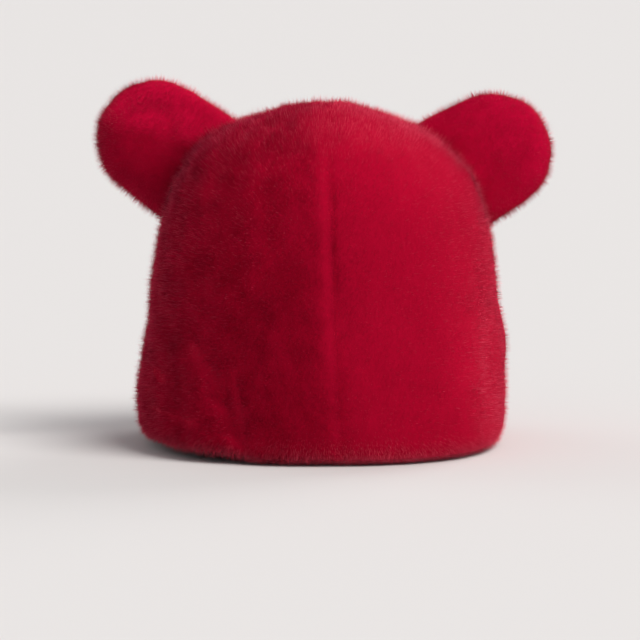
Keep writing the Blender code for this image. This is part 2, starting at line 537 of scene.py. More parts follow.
def surface_arrays(node: str, fine: PointTest | None = None) -> tuple[Array, Array]:
    """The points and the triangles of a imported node's merged mesh.

    Args:
        node: The node's name.
        fine: Says at which points the surface gets smaller triangles.

    Returns:
        The points, and three points' numbers for each triangle.
    """
    merged = merged_solid(node, fine)
    points = np.array([vertex.co for vertex in merged.verts])
    faces = np.array([[vertex.index for vertex in face.verts] for face in merged.faces])
    merged.free()
    return points, faces


def face_turns(points: Array, faces: Array) -> Array:
    """The normal of each triangle, as long as twice its area."""
    corners = points[faces]
    return np.cross(corners[:, 1] - corners[:, 0], corners[:, 2] - corners[:, 0])


def barycentric(place: Array, corners: Array) -> Array:
    """How much of each of a triangle's corners a place in it takes.

    Args:
        place: A place in the triangle.
        corners: The triangle's corners.

    Returns:
        The three shares.
    """
    sides = np.stack([corners[1] - corners[0], corners[2] - corners[0]], axis=1)
    second, third = np.linalg.lstsq(sides, place - corners[0], rcond=None)[0]
    return np.clip(np.array([1.0 - second - third, second, third]), 0.0, 1.0)


@dataclass
class Coat:
    """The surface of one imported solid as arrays, and which of its faces hair grows on."""

    points: Array
    faces: Array
    normals: Array
    grown: Array

    @classmethod
    def of_node(cls, node: str, grows: FaceChoice, fine: PointTest | None = None) -> "Coat":
        """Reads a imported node.

        Args:
            node: The node's name.
            grows: Says which faces carry hair.
            fine: Says at which points the surface gets smaller triangles.

        Returns:
            The node's merged surface with soft normals taken from its hairy faces alone.
        """
        points, faces = surface_arrays(node)
        across = face_turns(points, faces)
        grown = grows(points[faces].mean(axis=1), unit(across))
        normals = np.zeros_like(points)
        for corner in range(3):
            np.add.at(normals, faces[grown, corner], across[grown])
        coat = cls(points, faces, unit(normals), grown)
        return coat if fine is None else coat.refined(node, grows, fine)

    def refined(self, node: str, grows: FaceChoice, fine: PointTest) -> "Coat":
        """The same surface with smaller triangles in places, shaded as softly as before.

        Args:
            node: The node's name.
            grows: Says which faces carry hair.
            fine: Says at which points the surface gets smaller triangles.

        Returns:
            The finer surface.
        """
        points, faces = surface_arrays(node, fine)
        grown = grows(points[faces].mean(axis=1), unit(face_turns(points, faces)))
        hairy = self.faces[self.grown]
        tree = BVHTree.FromPolygons(self.points.tolist(), hairy.tolist())
        normals = np.zeros_like(points)
        for index in np.unique(faces[grown]):
            place, _, face, _ = tree.find_nearest(Vector(points[index]))
            corners = hairy[face]
            normals[index] = barycentric(np.array(place), self.points[corners]) @ self.normals[corners]
        return Coat(points, faces, unit(normals), grown)

    def nearness(self, others: list[BVHTree], reach: float) -> Array:
        """How near each of its points is to other surfaces.

        Args:
            others: The other surfaces.
            reach: How far away the nearness has fallen to about a third.

        Returns:
            From 1 where they touch to 0 at three times the reach.
        """
        gaps = np.full(len(self.points), np.inf)
        for tree in others:
            for index, point in enumerate(self.points):
                found = tree.find_nearest(Vector(point), 3.0 * reach)
                if found[0] is not None:
                    gaps[index] = min(gaps[index], found[3])
        return np.exp(-((gaps / reach) ** 2))

    def scatter(self, count: int, rng: np.random.Generator, wanted: Density) -> "Scatter":
        """Places of hairs, even over the wanted part of the hairy faces.

        Args:
            count: How many hairs are wanted.
            rng: The source of chance.
            wanted: Says how densely each face is grown, from 0 to 1.

        Returns:
            The places.
        """
        faces = self.faces[self.grown]
        size = np.linalg.norm(face_turns(self.points, faces), axis=1)
        weight = size * wanted(self.points[faces].mean(axis=1))
        steps = (np.arange(count) + rng.random(count)) / count
        picked = np.searchsorted(np.cumsum(weight) / weight.sum(), steps).clip(0, len(faces) - 1)
        pair = [(np.arange(count) * step + rng.random(len(faces))[picked]) % 1.0 for step in EVEN_STEPS]
        second, third = np.where(pair[0] + pair[1] > 1, 1 - np.array(pair), pair)
        return Scatter(faces[picked], np.stack([1 - second - third, second, third], axis=1))


@dataclass
class Scatter:
    """Places spread over a coat's faces, each between three of its points."""

    corners: Array
    shares: Array

    def read(self, values: Array) -> Array:
        """What a value that is known at the coat's points is at each place."""
        return np.einsum("nk,nk...->n...", self.shares, values[self.corners])


@dataclass
class Growth:
    """How each hair of a piece of pile stands, with a row for each hair."""

    places: Array  # on the surface that the tips reach
    normals: Array
    lean: Array  # how far each tip is combed along the surface
    height: Array  # how far each tip ends above the surface
    shade: Array  # from 0 for the darkest hair to 1 for the palest, painted highlights and painted shade included
    nap: Array  # which way the hair's lit flank turns from the surface's normal
    loose: Array  # from 0 for even, upright tips to 1 for straying ones
    floor: Array  # the height that no point of the hair goes below
    combed: Array  # from 0 where guard hair stands up to 1 where it lies as the pile does
    fringe: Array  # how much more guard hair there is than elsewhere


@dataclass
class Pile:
    """Standing hair: two triangles a hair, widest at its bend."""

    finish: Material
    guard_finish: Material
    slot: str
    depth: float = 5.0 * MM  # from the tips down to where a hair starts
    width: float = 0.19 * MM
    widths: tuple[float, float] = (0.75, 1.2)  # the narrowest and the widest, as parts of the width
    rise: float = 0.7 * MM  # how unevenly the tips end
    fullness: float = 0.3 * MM  # how far the mean tip stands above the surface
    guard_share: float = 0.11
    guard_rise: float = 3.4 * MM
    guard_lean: float = 0.25  # guard hair stands straighter than the pile round it
    guard_width: float = 0.17 * MM
    guard_place: float = 0.95  # on the pile's map, above all shades of the dense pile
    palest: float = 0.84  # the dense pile's last place on it
    map_stops: tuple[float, ...] = (0.02, 0.52, 0.52, 0.98)  # across it: root, the bend's two sides, tip
    map_lifts: tuple[float, ...] = (0.0, -1.0 / 256.0, 1.0 / 256.0, 0.0)  # and up it
    scatter: float = 1.0 * MM  # how far single tips stray sideways
    calm: float = 0.4  # what is left of the tips' straying and unevenness where the pile is even
    bend: float = 0.35  # how much later a hair leans than a straight one
    turned: float = math.radians(46)  # how far a blade turns about its own length
    calm_turned: float = 0.45  # what is left of that where the pile is even

    def build(self, name: str, growth: Growth, rng: np.random.Generator) -> Object:
        """Grows one piece of pile.

        Args:
            name: The piece's name.
            growth: How each hair stands.
            rng: The source of chance.

        Returns:
            The piece, riding and with its material.
        """
        places, normals = growth.places, growth.normals
        count = len(places)
        loose = between(self.calm, growth.loose)
        guard = rng.random(count) < self.guard_share * (1.0 + growth.fringe)
        height = growth.height + rng.normal(0.0, self.rise, count) * loose + self.fullness
        height = np.where(guard, height + self.guard_rise * rng.random(count), height)
        stray = along(rng.normal(0.0, self.scatter, (count, 3)) * loose[:, None], normals)
        upright = between(self.guard_lean, growth.combed)
        combed = (growth.lean + stray) * np.where(guard, upright, 1.0)[:, None]
        roots = places - normals * self.depth
        tips = places + normals * height[:, None] + combed
        middles = (roots + tips) / 2 - combed * (0.5 * self.bend)
        for row in (roots, middles, tips):
            row[:, 2] = np.maximum(row[:, 2], growth.floor)
        course = unit(tips - roots)
        flat = unit(np.cross(course, normals) + SAME_PLACE)  # a hair that doesn't lean gets a side too
        other = np.cross(course, flat)
        turn = (rng.normal(0.0, self.turned, count) * between(self.calm_turned, growth.loose))[:, None]
        breadth = flat * np.cos(turn) + other * np.sin(turn)
        wide = np.where(guard, self.guard_width, self.width * rng.uniform(*self.widths, count))
        edge = breadth * (wide / 2)[:, None]
        edge[:, 2] = np.where(middles[:, 2] < growth.floor + self.width, 0.0, edge[:, 2])
        inward = np.sum(np.cross(breadth, course) * normals, axis=1) < 0
        edge[inward] *= -1.0
        points = np.stack([roots, middles - edge, middles + edge, tips], axis=1).reshape(-1, 3)
        first = np.arange(count)[:, None] * 4
        faces = np.concatenate([first + [0, 2, 1], first + [1, 2, 3]], axis=1).reshape(-1, 3)
        soft = np.repeat(unit(normals + growth.nap), 4, axis=0)
        pale = np.where(guard, self.guard_place, np.minimum(growth.shade, self.palest))
        up = (pale[:, None] + self.map_lifts).ravel()
        piece = blades(name, points, faces, np.stack([np.tile(self.map_stops, count), up], axis=1), soft)
        piece.data.materials.append(self.finish)
        piece.data.materials.append(self.guard_finish)
        piece.data.polygons.foreach_set("material_index", np.repeat(guard, 2).astype(np.int32))
        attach(piece, BODY)
        return piece


def blades(name: str, points: Array, faces: Array, uv: Array, normals: Array) -> Object:
    """A mesh of many small blades.

    Args:
        name: The piece's name.
        points: The vertices.
        faces: Three vertices a face.
        uv: A place on the pile's map for each vertex.
        normals: A shading normal for each vertex.

    Returns:
        The piece, in the scene.
    """
    mesh = bpy.data.meshes.new(name)
    mesh.vertices.add(len(points))
    mesh.vertices.foreach_set("co", points.astype(np.float32).ravel())
    mesh.loops.add(faces.size)
    mesh.loops.foreach_set("vertex_index", faces.astype(np.int32).ravel())
    mesh.polygons.add(len(faces))
    mesh.polygons.foreach_set("loop_start", np.arange(0, faces.size, 3, dtype=np.int32))
    mesh.polygons.foreach_set("use_smooth", np.ones(len(faces), bool))
    mesh.update(calc_edges=True)
    layer = mesh.uv_layers.new(name=STRAND_MAP)
    layer.data.foreach_set("uv", uv[faces.ravel()].astype(np.float32).ravel())
    mesh.normals_split_custom_set_from_vertices(normals.astype(np.float32))
    return linked(name, mesh)


def comb_skin(mesh: Mesh, coat: Coat, nap: Array) -> None:
    """Turns the shading of the skin under the hair as the hair's own is turned.

    Args:
        mesh: The skin, with its faces as the coat has them.
        coat: The surface that the hair stands on.
        nap: The turn at each of the coat's points.
    """
    soft = unit(coat.normals + nap)[coat.faces]
    soft[~coat.grown] = 0.0
    mesh.normals_split_custom_set(soft.reshape(-1, 3).tolist())


# The crown


@dataclass(frozen=True)
class Crease:
    """A crease or a dimple in the pile of the front, along a line between two points."""

    start: tuple[float, float]  # across and up, in metres
    end: tuple[float, float]
    reach: float
    depth: float

    def near(self, flat: Array) -> tuple[Array, Array]:
        """How near each place is to the crease, from 0 to 1, and the way from its line to the place.

        Args:
            flat: Places as seen from the front, across and up.

        Returns:
            The nearness, and a vector of length 1 for each place.
        """
        run = np.array(self.end) - self.start
        share = np.clip((flat - self.start) @ run / (run @ run), 0.0, 1.0)
        off = flat - (self.start + share[:, None] * run)
        away = off / np.maximum(np.linalg.norm(off, axis=1), SAME_PLACE)[:, None]
        return np.exp(-2.0 * np.sum(off**2, axis=1) / self.reach**2), away


@dataclass(frozen=True)
class Stripe:
    """What the hair has more of on a line beside the seam, fading to both sides of it."""

    middle: float  # how far to the right of the seam the line is
    reach: float
    gain: float = 1.0


@dataclass
class Combing:
    """How the crown's hair is combed, and how tall and how pale it is from place to place, its paleness
    holding painted highlights and painted shade.

    A ramp runs over parts of the crown's height where its comment names nothing else.
    """

    # The seam's course, and where it shows
    turn_at_top: float = math.radians(2.4)
    turn_at_rim: float = math.radians(5.8)
    turn_bend: float = 2.2
    crown_top: float = 192.8 * MM
    seam_start: Ramp = Ramp(0.40, 0.56, 0.28)
    seam_end: Ramp = Ramp(0.90, 0.70)
    closing: Ramp = Ramp(24.0 * MM, 16.0 * MM)  # out from the seam, where the hair closes the parting
    seam_face: float = 0.03
    crown_radius: float = 95.0 * MM
    fine_from: float = 16.0 * MM  # the skin has smaller triangles beside the seam above this height
    fine_reach: float = 15.0 * MM
    # Where the combing of the two sides meets
    seam_blur: float = 2.4 * MM
    top_blur: float = 9.0 * MM
    seam_lap: float = 5.0 * MM  # how far to the left of the seam it meets
    waist_lap: float = 3.6 * MM  # and how much further below the waist
    rim_drift: float = 19.0 * MM  # and how far back to the right at the rim
    top_drift: float = 10.0 * MM
    low: Ramp = Ramp(0.35, 0.05)
    below_waist: Ramp = Ramp(0.58, 0.46)
    high: Ramp = Ramp(0.62, 0.92)
    crown: Ramp = Ramp(0.76, 0.96)
    tufted: Ramp = Ramp(30.0 * MM, -30.0 * MM)  # across, from the calm right side to the left one
    # How tall the hair is
    fill: Stripe = Stripe(0.5 * MM, 4.5 * MM)
    fill_height: float = 1.3 * MM
    hidden_fill: float = 0.9 * MM  # and how much more where the seam doesn't show
    crest: Stripe = Stripe(-4.0 * MM, 3.0 * MM, 1.5 * MM)  # the left side's hair laps over the seam
    groove: Stripe = Stripe(1.0 * MM, 1.6 * MM, 1.3 * MM)
    tufts: Patches = Patches(9.0 * MM, 21)
    calm_tuft: float = 0.15 * MM
    rough_tuft: float = 0.4 * MM
    left_trim: float = 1.6 * MM
    left_edge: Ramp = Ramp(-72.0 * MM, -87.0 * MM)  # across
    ear_fringe: float = 2.2 * MM  # how much longer the hair is round the feet of the ears
    rim: Ramp = Ramp(16.0 * MM, 0.0)  # up
    rim_trim: float = 2.4 * MM  # how much shorter the hair gets down the rim's roll
    floor: float = 0.3 * MM
    rim_unevenness: float = 0.6 * MM
    # How the hair leans
    crest_lean: Stripe = Stripe(-2.5 * MM, 4.2 * MM, 1.6 * MM)
    droop: float = 0.6 * MM
    broad_swirl: Patches = Patches(26.0 * MM, 11, 0.6 * MM)
    fine_swirl: Patches = Patches(9.0 * MM, 12)
    calm_swirl: float = 0.2 * MM
    rough_swirl: float = 1.6 * MM
    rim_flare: float = 1.2 * MM
    rim_hang: float = 3.0 * MM  # how far down the hair is combed at the foot of the rim's roll
    # How the front's left rim is lifted
    lift: float = 5.2 * MM
    lift_elsewhere: float = 0.25  # as a part of the lift at the left
    lift_left: Ramp = Ramp(-30.0 * MM, -56.0 * MM)  # across
    lift_front: Ramp = Ramp(10.0 * MM, -30.0 * MM)  # from back to front
    lift_low: Ramp = Ramp(34.0 * MM, 0.0)  # up
    # Which way the hair's lit flanks turn
    nap_left: Point = (-0.23, 0.0, -0.13)
    nap_right: Point = (0.02, 0.0, 0.0)
    high_nap: float = 0.15
    inner_calm: float = 0.4
    inner: Ramp = Ramp(-45.0 * MM, 0.0)  # from the left up to the seam
    high_turn: Stripe = Stripe(-18.0 * MM, 12.0 * MM, 0.16)
    waist_turn: float = 0.22
    waist: Ramp = Ramp(0.60, 0.40)
    edge_turn: float = 0.60  # the nap turns up towards the right side
    right_edge: Ramp = Ramp(60.0 * MM, 85.0 * MM)  # across
    foot: Ramp = Ramp(0.0, 60.0 * MM)  # up
    foot_share: float = 0.2
    crest_turn: Stripe = Stripe(-3.4 * MM, 2.4 * MM, 0.30)
    groove_turn: Stripe = Stripe(1.2 * MM, 1.8 * MM, 0.42)
    groove_mean: float = 0.7
    groove_breaks: Patches = Patches(7.0 * MM, 16, 0.5)
    underside_turn: float = 1.2
    broad_nap: Patches = Patches(20.0 * MM, 13, 0.05)
    fine_nap: Patches = Patches(5.5 * MM, 14, 0.11)
    finest_nap: Patches = Patches(2.8 * MM, 15, 0.088)
    calm_nap: float = 0.25
    # The creases of the left cheek
    crease_foot: Ramp = Ramp(0.0, 12.0 * MM)  # up
    crease_push: float = 1.5
    crease_turn: float = 0.3 / MM
    # painted shade: how much darker the hair is painted for each metre of a crease's depth
    crease_shade: float = 0.3 / MM
    creases: tuple[Crease, ...] = (
        Crease((-0.0625, 0.050), (-0.0475, 0.010), 5.0 * MM, 1.5 * MM),
        Crease((-0.0490, 0.050), (-0.0430, 0.000), 4.5 * MM, 1.3 * MM),
        Crease((-0.0940, 0.046), (-0.0910, 0.042), 3.2 * MM, 2.3 * MM),
        Crease((-0.0720, 0.061), (-0.0635, 0.046), 3.5 * MM, 1.5 * MM),
        Crease((-0.0970, 0.026), (-0.0700, 0.022), 5.0 * MM, 0.8 * MM),
    )
    # How much guard hair there is, with ramps over parts of the normals
    rim_fringe: float = 12.0
    top_fringe: float = 2.0
    shaded_left_fringe: float = 0.25  # the shaded left side's part of it, where fewer pale tips show
    calm_fringe: float = 0.5  # how much less guard hair there is on the calm right side
    top_facing: Ramp = Ramp(0.70, 0.95)
    side_facing: Ramp = Ramp(0.75, 0.95)
    shoulder_facing: Ramp = Ramp(0.35, 0.15)
    shoulder_fringe: float = 1.6
    shoulder_height: float = 100.0 * MM
    # How pale the hair is, with its painted highlights and painted shade
    calm_mottle: float = 0.4
    broad_tone: Patches = Patches(16.0 * MM, 31, 0.06)
    fine_tone: Patches = Patches(4.0 * MM, 32, 0.07)
    tone_spread: float = 0.13
    left_flank: Ramp = Ramp(0.45, 0.85)  # over parts of the normals
    right_flank: Ramp = Ramp(0.30, 0.70)  # over parts of the normals
    # painted highlight: the hair is made paler towards both flanks, where the outlines catch the light
    left_flank_highlight: float = 0.26
    right_flank_highlight: float = 0.468
    # painted highlight and painted shade on the left side: paler high up, darker low down where it faces
    # away from the light
    left_top_highlight: float = 0.45
    left_low_shade: float = 0.08
    # painted highlights: paler hair high on the right and down the rim's roll
    right_top_highlight: float = 0.3
    rim_highlight: float = 0.4
    lit_above: Ramp = Ramp(0.55, 0.75)
    shaded_below: Ramp = Ramp(0.62, 0.42)
    # painted highlight on the seam's crest and painted shade in its groove, the shade broken in patches
    crest_highlight: Stripe = Stripe(-4.4 * MM, 2.2 * MM, 0.60)
    groove_shade: Stripe = Stripe(0.8 * MM, 1.7 * MM, 0.30)
    groove_shade_mean: float = 0.6
    groove_shade_breaks: Patches = Patches(6.0 * MM, 33, 1.2)
    groove_shade_limits: tuple[float, float] = (0.24, 1.8)
    # How far the skin lies under the tips
    calm_depth: float = 0.7 * MM
    rough_depth: float = 1.8 * MM
    crest_depth: float = 0.6 * MM
    skin_crest: Stripe = Stripe(-4.0 * MM, 3.5 * MM)
    skin_groove: Stripe = Stripe(1.2 * MM, 2.0 * MM, 1.4 * MM)
    skin_edge: Ramp = Ramp(70.0 * MM, 95.0 * MM)  # across
    edge_rise: float = 0.5

    def rise(self, places: Array) -> Array:
        """How high up the crown each place is, from 0 to 1."""
        return np.clip(places[:, 2] / self.crown_top, 0.0, 1.0)

    def seam_offset(self, places: Array) -> Array:
        """How far each place is to the right of the seam.

        Args:
            places: Where the hairs are.

        Returns:
            The distance in metres, below 0 to the seam's left.
        """
        bend = (1 - self.rise(places)) ** self.turn_bend
        turn = self.turn_at_top + (self.turn_at_rim - self.turn_at_top) * bend
        return places[:, 0] - np.where(places[:, 1] < 0, -places[:, 1] * np.tan(turn), 0.0)

    def beside(self, places: Array, stripe: Stripe) -> Array:
        """What a line beside the seam adds at each place."""
        return stripe.gain * np.exp(-(((self.seam_offset(places) - stripe.middle) / stripe.reach) ** 2))

    def seam_shown(self, places: Array) -> Array:
        """1 where the seam shows on the front, falling towards the rim, and to 0 over the top."""
        rise = self.rise(places)
        return self.seam_start.at(rise) * self.seam_end.at(rise)

    def right_share(self, places: Array) -> Array:
        """0 on the crown's left side to 1 on its right, across the line where their combing meets.

        Args:
            places: Where the hairs are.

        Returns:
            The right side's share at each place.
        """
        rise = self.rise(places)
        low = self.low.at(rise)
        blur = self.seam_blur + (self.top_blur - self.seam_blur) * np.maximum(self.crown.at(rise), low)
        lap = self.seam_lap - self.rim_drift * low - self.top_drift * self.high.at(rise)
        lap += self.waist_lap * self.below_waist.at(rise)
        return 1.0 / (1.0 + np.exp(-(self.seam_offset(places) + lap) / blur))

    def roughness(self, places: Array) -> Array:
        """From 0 on the calm right side to 1 on the tufted left side."""
        return self.tufted.at(places[:, 0])

    def rim_share(self, places: Array) -> Array:
        """0 above the rim's roll to 1 where it meets the floor."""
        return self.rim.at(places[:, 2])

    def closed(self, points: Array, normals: Array) -> Array:
        """The crown's normals with those of the parting's two flanks turned out, as on a round crown.

        Args:
            points: Places on the crown.
            normals: The surface's normals there.

        Returns:
            The turned normals.
        """
        offset = self.seam_offset(points)
        limit = self.seam_face + offset / self.crown_radius
        flank = np.where(offset < 0, np.minimum(normals[:, 0], limit), np.maximum(normals[:, 0], limit))
        turned = normals.copy()
        turned[:, 0] += (flank - normals[:, 0]) * self.closing.at(np.abs(offset))
        return unit(turned)

    def fine(self, point: Vector) -> bool:
        """True beside the seam on the front, above the rim's roll."""
        offset = self.seam_offset(np.array([point]))[0]
        return bool(point.y < 0 and point.z > self.fine_from and abs(offset) < self.fine_reach)

    def lifted(self, points: Array) -> Array:
        """The crown's points with the rim raised a little at the front's left.

        Args:
            points: Places on the crown.

        Returns:
            The places after the lift.
        """
        left = between(self.lift_elsewhere, smooth(self.lift_left.at(points[:, 0])))
        front, low = self.lift_front.at(points[:, 1]), self.lift_low.at(points[:, 2])
        moved = points.copy()
        moved[:, 2] += self.lift * left * np.sqrt(front) * low * low
        return moved

    def crease_field(self, places: Array) -> tuple[Array, Array]:
        """The creases of the front.

        Args:
            places: Where the hairs are.

        Returns:
            How deep each place lies in a crease, and the push away from the crease's line.
        """
        depth, push = np.zeros(len(places)), np.zeros_like(places)
        shown = (places[:, 1] < 0) * self.crease_foot.at(places[:, 2])
        for crease in self.creases:
            near, away = crease.near(places[:, [0, 2]])
            depth += near * shown * crease.depth
            push[:, [0, 2]] += away * (near * shown * self.crease_push * crease.depth)[:, None]
        return depth, push

    def ridge(self, places: Array) -> Array:
        """How high the hair stands up beside the seam and over it.

        Args:
            places: Where the hairs are.

        Returns:
            The height at each place, in metres.
        """
        fill = self.fill_height + self.hidden_fill * (1.0 - self.seam_shown(places))
        broad = self.beside(places, self.fill) * fill
        return (broad + self.beside(places, self.crest)) * (1.0 - self.rim_share(places))

    def trim(self, places: Array) -> Array:
        """How much shorter the pile is on the left flank."""
        return self.left_trim * self.left_edge.at(places[:, 0])

    def height(self, places: Array) -> Array:
        """How far the tips end above the solids.

        Args:
            places: Where the hairs are.

        Returns:
            The height at each place, in metres.
        """
        tuft = self.tufts.values(places) * (self.calm_tuft + self.rough_tuft * self.roughness(places))
        seam = self.ridge(places) - self.beside(places, self.groove) * self.seam_shown(places)
        rim = self.rim_share(places) * self.rim_trim
        return tuft + seam - self.crease_field(places)[0] - rim - self.trim(places)

    def lean(self, places: Array, normals: Array) -> Array:
        """How far the tips are combed along the surface.

        Args:
            places: Where the hairs are.
            normals: The surface's normals there.

        Returns:
            A vector for each place, in metres.
        """
        swirl = self.calm_swirl + self.rough_swirl * self.roughness(places)
        push = self.broad_swirl.vectors(places) + self.fine_swirl.vectors(places) * swirl[:, None]
        push += self.crease_field(places)[1]
        push[:, 0] += self.beside(places, self.crest_lean)
        push[:, 2] -= self.droop
        hang = unit(places * (1.0, 1.0, 0.0)) * self.rim_flare - (0.0, 0.0, self.rim_hang)
        return along(push, normals) + hang * self.rim_share(places)[:, None]

    def nap(self, places: Array, normals: Array) -> Array:
        """Which way the lit flanks of the hair turn from the surface's normal.

        Args:
            places: Where the hairs are.
            normals: The surface's normals there.

        Returns:
            A vector for each place.
        """
        rise, right = self.rise(places), self.right_share(places)
        high = self.high.at(rise)
        inner = self.inner_calm * self.inner.at(self.seam_offset(places)) * (1.0 - high)
        left = (1.0 - right) * (1.0 + self.high_nap * high) * (1.0 - inner)
        turn = np.outer(left, self.nap_left) + np.outer(right, self.nap_right)
        turn[:, 0] -= high * self.beside(places, self.high_turn)
        turn[:, 0] -= self.waist_turn * self.waist.at(rise) * (1.0 - right)
        foot = np.maximum(self.foot.at(places[:, 2]), self.foot_share)
        turn[:, 2] += self.edge_turn * self.right_edge.at(places[:, 0]) * foot
        broken = self.groove_mean + self.groove_breaks.values(places)
        seam = self.beside(places, self.crest_turn) - self.beside(places, self.groove_turn) * broken
        turn[:, 0] += seam * self.seam_shown(places)
        turn[:, 2] -= self.underside_turn * np.minimum(normals[:, 2], 0.0)
        turn -= self.crease_field(places)[1] * self.crease_turn
        fine = self.fine_nap.vectors(places) + self.finest_nap.vectors(places)
        rough = between(self.calm_nap, self.roughness(places))
        return turn + self.broad_nap.vectors(places) + fine * rough[:, None]

    def fringe(self, places: Array, normals: Array) -> Array:
        """How much more guard hair, whose pale tips partly paint a sheen, there is on the top, down the
        sides and round the rim, with less on the shaded left top.

        Args:
            places: Where the hairs are.
            normals: The surface's normals there.

        Returns:
            What is added at each place, as parts of the usual share.
        """
        right = self.right_share(places)
        across, deep = np.abs(normals[:, 0]), np.abs(normals[:, 1])
        top = self.top_facing.at(normals[:, 2]) * between(self.shaded_left_fringe, right)
        shoulder = self.shoulder_facing.at(deep) * right * (places[:, 2] > self.shoulder_height)
        side = np.maximum(self.side_facing.at(across), self.shoulder_fringe * shoulder)
        high, low = np.maximum(top, side) * self.top_fringe, self.rim_share(places) * self.rim_fringe
        return np.maximum(high, low) - self.calm_fringe * right

    def shade(self, places: Array, normals: Array, rng: np.random.Generator) -> Array:
        """How pale each hair is, with painted highlights and painted shade laid into it.

        Args:
            places: Where the hairs are.
            normals: The surface's normals there.
            rng: The source of chance.

        Returns:
            From 0 for the darkest hair to 1 for the palest.
        """
        rise, right = self.rise(places), self.right_share(places)
        patch = self.broad_tone.values(places) + self.fine_tone.values(places)
        patch += rng.normal(0.0, self.tone_spread, len(places))
        # painted highlight: paler hair towards both flanks, less of it low down
        flank = self.left_flank.at(np.abs(normals[:, 0]))
        right_flank_light = self.right_flank_highlight * self.right_flank.at(normals[:, 0])
        side = np.where(normals[:, 0] > 0, right_flank_light, self.left_flank_highlight * flank)
        side *= between(self.foot_share, self.foot.at(places[:, 2]))
        # painted highlight high on the left and painted shade low on the left
        left = self.left_top_highlight * self.lit_above.at(rise) - self.left_low_shade * self.shaded_below.at(rise)
        left *= (1.0 - right) * (1.0 - flank)
        # painted highlight on the seam's crest and painted shade in its groove
        broken = np.clip(self.groove_shade_mean + self.groove_shade_breaks.values(places), *self.groove_shade_limits)
        seam = self.beside(places, self.crest_highlight) - self.beside(places, self.groove_shade) * broken
        total = 0.5 + side + left + seam * self.seam_shown(places)
        # painted highlights high on the right and on the rim's roll
        total += self.right_top_highlight * self.high.at(rise) * right + self.rim_highlight * self.rim_share(places)
        # painted shade in the creases
        total -= self.crease_field(places)[0] * self.crease_shade
        return np.clip(total + patch * between(self.calm_mottle, self.roughness(places)), *SHADES)

    def skin_depth(self, places: Array) -> Array:
        """How far the skin lies under the solids' surface.

        Args:
            places: Points of the skin.

        Returns:
            The depth at each of them, in metres.
        """
        shown = self.seam_shown(places)
        depth = self.calm_depth + (self.rough_depth - self.calm_depth) * self.roughness(places)
        depth += (self.crest_depth - depth) * self.beside(places, self.skin_crest) * shown
        depth *= 1.0 - self.edge_rise * self.skin_edge.at(places[:, 0])
        groove = self.beside(places, self.skin_groove) * shown
        return depth + groove - self.ridge(places) + self.trim(places)


@dataclass
class CrownPanel:
    """One half of the crown: its skin, its inner backing and its pile."""

    side: Side
    combing: Combing
    seam_gap: float = 0.28 * MM  # between the two panels' walls, which meet under the hair
    wall_facing: float = 0.8  # a bare face that turns this far sideways belongs to such a wall
    hairs: int = 97000  # in each of its two pieces of pile
    hollow_middle: Point = (0.0, 0.0, 0.060)
    foot_reach: float = 7.0 * MM
    turned_out: float = 0.25  # a face is outside when it turns this far away from the hollow's middle
    seed: int = 100

    @property
    def node(self) -> str:
        """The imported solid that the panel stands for."""
        return f"crown_{self.side.word}"

    def coat(self, ears: list[BVHTree]) -> tuple[Coat, Array]:
        """The panel's surface, and how near each of its points is to an ear's foot.

        Args:
            ears: The ears' surfaces.

        Returns:
            The surface, and the nearness from 0 to 1.
        """
        coat = Coat.of_node(self.node, self.grows, self.combing.fine)
        foot = coat.nearness(ears, self.foot_reach)
        grown = coat.normals.any(axis=1)
        coat.normals[grown] = self.combing.closed(coat.points[grown], coat.normals[grown])
        coat.points = self.combing.lifted(coat.points)
        return coat, foot

    def grows(self, middles: Array, normals: Array) -> Array:
        """True for the outer faces, the rim's roll included."""
        away = unit(middles - self.hollow_middle)
        return np.sum(away * normals, axis=1) > self.turned_out

    def skin(self, coat: Coat, under: Material, back: Material) -> Object:
        """The wall under the pile.

        Args:
            coat: The solid's surface.
            under: The finish under the hair.
            back: The finish inside the crown.

        Returns:
            The wall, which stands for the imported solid.
        """
        wall = merged_solid(self.node, self.combing.fine)
        grown = coat.grown
        for face, hairy in zip(wall.faces, grown):
            face.material_index = 0 if hairy else 1
            face.smooth = True
        for vertex, place in zip(wall.verts, coat.points):
            vertex.co = place
        depth = self.combing.skin_depth(coat.points)
        for index in np.unique(coat.faces[grown]).tolist():
            vertex = wall.verts[index]
            inward = Vector(coat.normals[index]) * -depth[index]
            for face in vertex.link_faces:
                if not grown[face.index] and abs(face.normal.x) > self.wall_facing:
                    inward -= face.normal * (inward.dot(face.normal) - self.seam_gap / 2)
                    break
            vertex.co += inward
        piece = drawn_piece(f"skin_{self.side.word}", wall, under, back)
        comb_skin(piece.data, coat, self.combing.nap(coat.points, coat.normals))
        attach(piece, BODY)
        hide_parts(self.node)
        return piece

    def pile(self, coat: Coat, foot: Array, half: Half, finishes: Finishes) -> Object:
        """The hair of the panel's front or back half.

        Args:
            coat: The solid's surface.
            foot: How near each of its points is to an ear's foot.
            half: Which half.
            finishes: The dense pile's finish and the guard hair's.

        Returns:
            The piece of pile.
        """
        combing = self.combing
        rng = np.random.default_rng(self.seed + 10 * self.side.value + half.value)
        spots = coat.scatter(self.hairs, rng, lambda middles: (middles[:, 1] * half.value > 0).astype(float))
        places, normals = spots.read(coat.points), unit(spots.read(coat.normals))
        growth = Growth(
            places,
            normals,
            lean=combing.lean(places, normals),
            height=combing.height(places) + spots.read(foot) * combing.ear_fringe,
            shade=combing.shade(places, normals, rng),
            nap=combing.nap(places, normals),
            loose=combing.roughness(places),
            floor=combing.floor + np.abs(rng.normal(0.0, combing.rim_unevenness, len(places))),
            combed=combing.rim_share(places),
            fringe=combing.fringe(places, normals),
        )
        return Pile(*finishes, "crown_fur").build(f"pile_{self.side.word}_{half.word}", growth, rng)


# The ears


